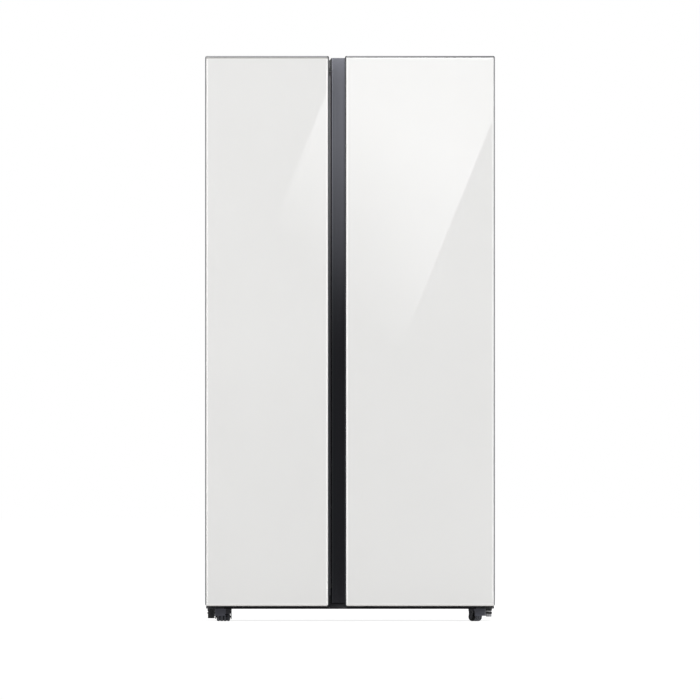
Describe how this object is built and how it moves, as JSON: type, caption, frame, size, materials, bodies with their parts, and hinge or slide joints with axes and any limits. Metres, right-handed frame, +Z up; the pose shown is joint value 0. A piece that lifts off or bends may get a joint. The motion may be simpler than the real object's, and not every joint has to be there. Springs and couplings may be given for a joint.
{
  "type": "side by side refrigerator",
  "caption": "Tall side by side refrigerator with white glass doors and a dark recessed grip channel; doors swing, drawers slide, casters and fans turn",
  "frame": {"origin": "on the floor, under the middle of the outer box", "axes": "+X to the right of someone facing the doors, +Y from the doors to the back, +Z up"},
  "size_m": [0.912, 0.716, 1.78],
  "materials": {
    "back_painted_glass": "gloss",
    "anodised_trim": "satin",
    "cabinet_paint": "satin",
    "galvanised_sheet": "satin",
    "insulating_foam": "matte",
    "liner_plastic": "satin",
    "seal_rubber": "matte",
    "grip_metal": "satin",
    "grip_plastic": "matte",
    "clear_plastic": "gloss",
    "shelf_glass": "gloss",
    "shelf_trim": "satin",
    "lamp_cover": "satin",
    "black_plastic": "matte",
    "zinc_steel": "satin",
    "compressor_black": "gloss",
    "fin_aluminium": "satin",
    "hinge_steel": "satin",
    "wheel_plastic": "matte"
  },
  "bodies": {
    "cabinet": {"back_panel": "galvanised_sheet", "base_cover": "black_plastic", "base_tray": "galvanised_sheet", "cabinet_insulation": "insulating_foam", "cabinet_wrap": "cabinet_paint", "compartment_lamps": "lamp_cover", "compressor": "compressor_black", "condenser": "fin_aluminium", "condenser_fan_bracket": "galvanised_sheet", "drain_pan": "black_plastic", "evaporator": "fin_aluminium", "evaporator_cover": "liner_plastic", "freezer_liner": "liner_plastic", "fridge_air_duct": "liner_plastic", "fridge_liner": "liner_plastic", "glass_shelves": "shelf_glass", "hinge_adjusters": "zinc_steel", "hinge_covers": "black_plastic", "hinge_screws": "zinc_steel", "left_lower_hinge": "hinge_steel", "left_upper_hinge": "hinge_steel", "machine_cover": "galvanised_sheet", "mains_inlet": "black_plastic", "mullion_plate": "cabinet_paint", "right_lower_hinge": "hinge_steel", "right_upper_hinge": "hinge_steel", "roller_brackets": "galvanised_sheet", "shelf_trims": "shelf_trim"},
    "left_door": {"left_door_bins": "clear_plastic", "left_door_bushes": "wheel_plastic", "left_door_foam": "insulating_foam", "left_door_gasket": "seal_rubber", "left_door_liner": "liner_plastic", "left_door_pan": "cabinet_paint", "left_door_panel": "back_painted_glass", "left_door_trim": "anodised_trim", "left_handle_base": "grip_plastic", "left_handle_strip": "grip_metal"},
    "right_door": {"right_door_bins": "clear_plastic", "right_door_bushes": "wheel_plastic", "right_door_foam": "insulating_foam", "right_door_gasket": "seal_rubber", "right_door_liner": "liner_plastic", "right_door_pan": "cabinet_paint", "right_door_panel": "back_painted_glass", "right_door_trim": "anodised_trim", "right_handle_base": "grip_plastic", "right_handle_strip": "grip_metal"},
    "freezer_drawer_lower_body": {"freezer_drawer_lower": "clear_plastic"},
    "freezer_drawer_upper_body": {"freezer_drawer_upper": "clear_plastic"},
    "fridge_drawer_lower_body": {"fridge_drawer_lower": "clear_plastic"},
    "fridge_drawer_upper_body": {"fridge_drawer_upper": "clear_plastic"},
    "left_caster_fork_body": {"left_caster_fork": "hinge_steel"},
    "left_caster_wheel_body": {"left_caster_wheel": "wheel_plastic"},
    "right_caster_fork_body": {"right_caster_fork": "hinge_steel"},
    "right_caster_wheel_body": {"right_caster_wheel": "wheel_plastic"},
    "left_rear_roller_body": {"left_rear_roller": "wheel_plastic"},
    "right_rear_roller_body": {"right_rear_roller": "wheel_plastic"},
    "evaporator_fan_body": {"evaporator_fan": "black_plastic"},
    "condenser_fan_body": {"condenser_fan": "black_plastic"}
  },
  "joints": [
    {"name": "left_door_hinge", "type": "hinge", "parent": "cabinet", "child": "left_door", "pos_m": [-0.437, -0.31, 0.9], "axis": [0, 0, -1], "range_deg": [0, 120]},
    {"name": "right_door_hinge", "type": "hinge", "parent": "cabinet", "child": "right_door", "pos_m": [0.437, -0.31, 0.9], "axis": [0, 0, 1], "range_deg": [0, 120]},
    {"name": "freezer_drawer_lower_slide", "type": "slide", "parent": "cabinet", "child": "freezer_drawer_lower_body", "axis": [0, -1, 0], "range_m": [0, 0.06]},
    {"name": "freezer_drawer_upper_slide", "type": "slide", "parent": "cabinet", "child": "freezer_drawer_upper_body", "axis": [0, -1, 0], "range_m": [0, 0.06]},
    {"name": "fridge_drawer_lower_slide", "type": "slide", "parent": "cabinet", "child": "fridge_drawer_lower_body", "axis": [0, -1, 0], "range_m": [0, 0.06]},
    {"name": "fridge_drawer_upper_slide", "type": "slide", "parent": "cabinet", "child": "fridge_drawer_upper_body", "axis": [0, -1, 0], "range_m": [0, 0.06]},
    {"name": "left_caster_swivel", "type": "hinge", "parent": "cabinet", "child": "left_caster_fork_body", "pos_m": [-0.408, -0.21, 0.05], "axis": [0, 0, 1], "continuous": true},
    {"name": "left_caster_roll", "type": "hinge", "parent": "left_caster_fork_body", "child": "left_caster_wheel_body", "pos_m": [-0.399, -0.2, 0.014], "axis": [1, 0, 0], "continuous": true},
    {"name": "right_caster_swivel", "type": "hinge", "parent": "cabinet", "child": "right_caster_fork_body", "pos_m": [0.408, -0.21, 0.05], "axis": [0, 0, 1], "continuous": true},
    {"name": "right_caster_roll", "type": "hinge", "parent": "right_caster_fork_body", "child": "right_caster_wheel_body", "pos_m": [0.39465, -0.21164, 0.014], "axis": [0.5736, 0.8192, 0], "continuous": true},
    {"name": "left_rear_roll", "type": "hinge", "parent": "cabinet", "child": "left_rear_roller_body", "pos_m": [-0.397, 0.294, 0.02], "axis": [1, 0, 0], "continuous": true},
    {"name": "right_rear_roll", "type": "hinge", "parent": "cabinet", "child": "right_rear_roller_body", "pos_m": [0.397, 0.294, 0.02], "axis": [1, 0, 0], "continuous": true},
    {"name": "evaporator_fan_spin", "type": "hinge", "parent": "cabinet", "child": "evaporator_fan_body", "pos_m": [-0.24675, 0.236, 0.869], "axis": [0, 1, 0], "continuous": true},
    {"name": "condenser_fan_spin", "type": "hinge", "parent": "cabinet", "child": "condenser_fan_body", "pos_m": [-0.02, 0.26, 0.142], "axis": [1, 0, 0], "continuous": true}
  ]
}
